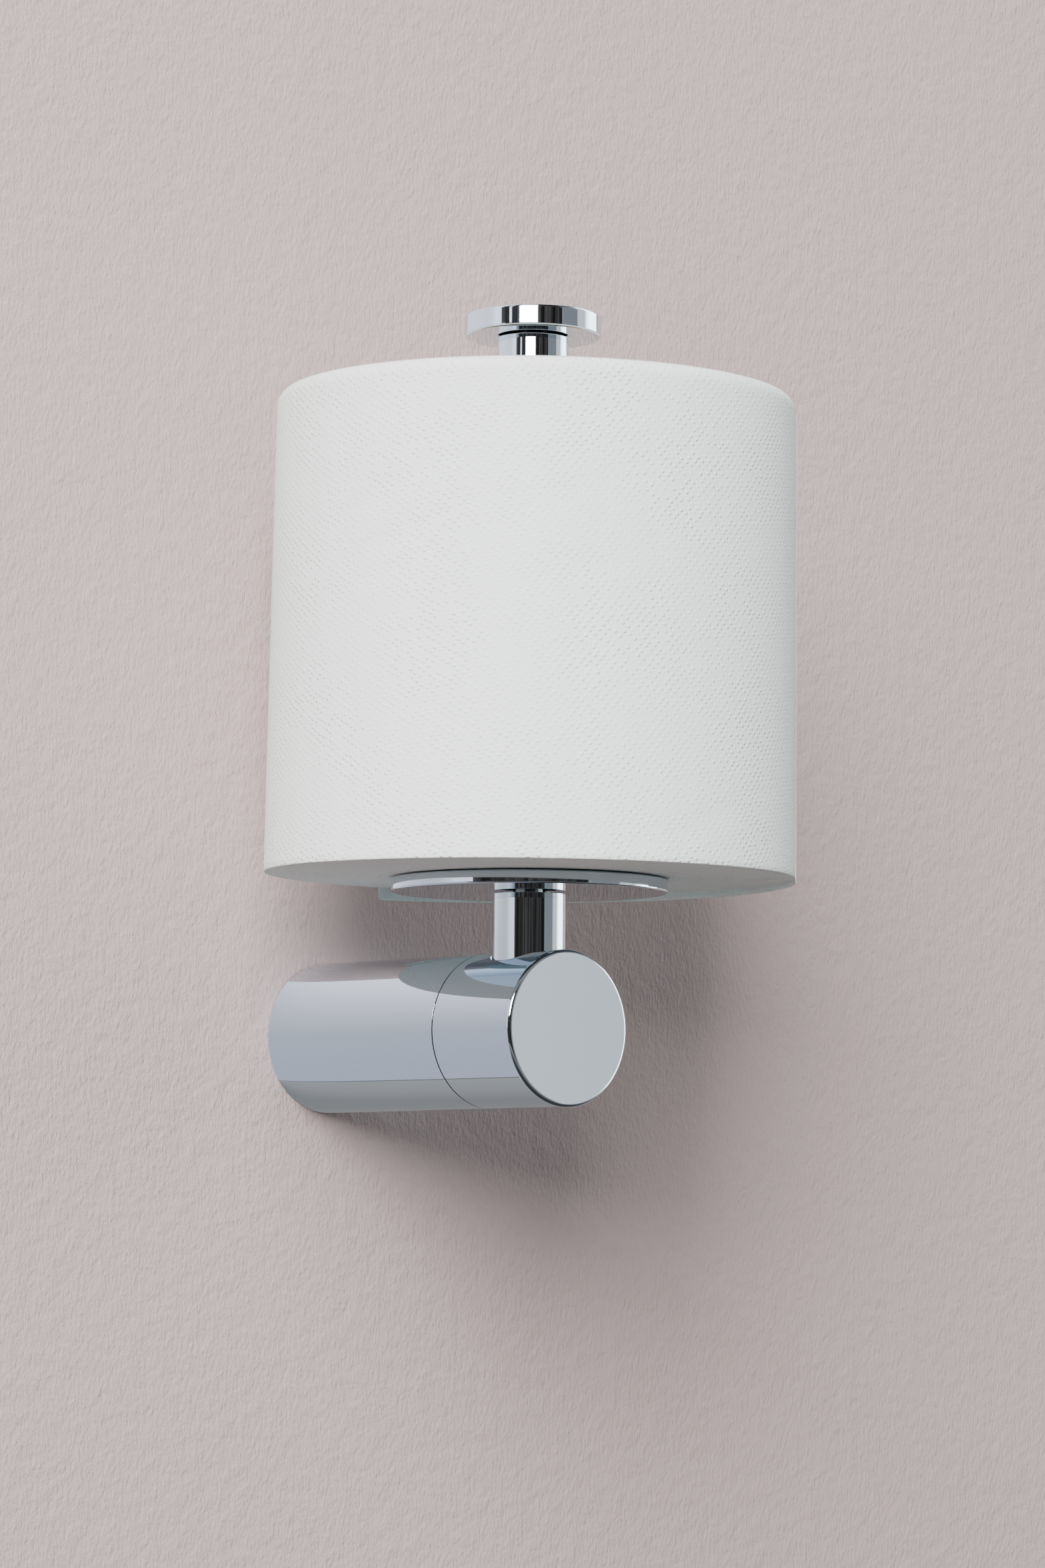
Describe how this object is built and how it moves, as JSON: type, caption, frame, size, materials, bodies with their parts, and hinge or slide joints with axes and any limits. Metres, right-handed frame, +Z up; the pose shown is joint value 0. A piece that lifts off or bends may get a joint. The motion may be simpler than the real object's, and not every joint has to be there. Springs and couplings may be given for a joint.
{
  "type": "toilet roll holder",
  "caption": "Wall-mounted upright paper roll holder: a short horizontal round bar carries a vertical post with a support disc, a roll standing on it and a flat round finial.",
  "frame": {"origin": "centre of the wall bracket's flat back face, on the axis of the horizontal bar, in the plane of the wall", "axes": "+Y out of the bracket's back into the wall, so the bar runs along -Y away from the wall; +Z up along the roll's post; +X to the right as seen by someone facing the wall"},
  "size_m": [0.1163, 0.1623, 0.1737],
  "materials": {
    "polished_chrome": "mirror-polished chrome plating",
    "bracket_zinc": "as-cast zinc, lightly tumbled",
    "fixing_steel": "zinc-plated steel",
    "black_steel": "black oxide steel",
    "plug_plastic": "moulded nylon",
    "core_cardboard": "unbleached cardboard",
    "tissue_paper": "soft embossed tissue"
  },
  "bodies": {
    "holder": {"wall_bracket": "bracket_zinc", "wall_screw_left": "fixing_steel", "wall_screw_right": "fixing_steel", "wall_plug_left": "plug_plastic", "wall_plug_right": "plug_plastic", "bar_sleeve": "polished_chrome", "sleeve_set_screw": "black_steel", "head_bolt": "black_steel", "head_bolt_washer": "fixing_steel", "front_head": "polished_chrome", "lower_post": "polished_chrome", "support_disc": "polished_chrome", "upper_post": "polished_chrome", "tie_rod": "fixing_steel", "finial": "polished_chrome"},
    "roll_core": {"cardboard_core": "core_cardboard"},
    "roll_paper": {"paper_roll": "tissue_paper", "loose_sheet": "tissue_paper"}
  },
  "joints": [
    {"name": "roll_lift", "type": "slide", "parent": "holder", "child": "roll_core", "axis": [0, 0, 1], "range_m": [0, 0.13]},
    {"name": "roll_spin", "type": "hinge", "parent": "roll_core", "child": "roll_paper", "pos_m": [0, -0.07, 0.086], "axis": [0, 0, 1], "continuous": true}
  ]
}
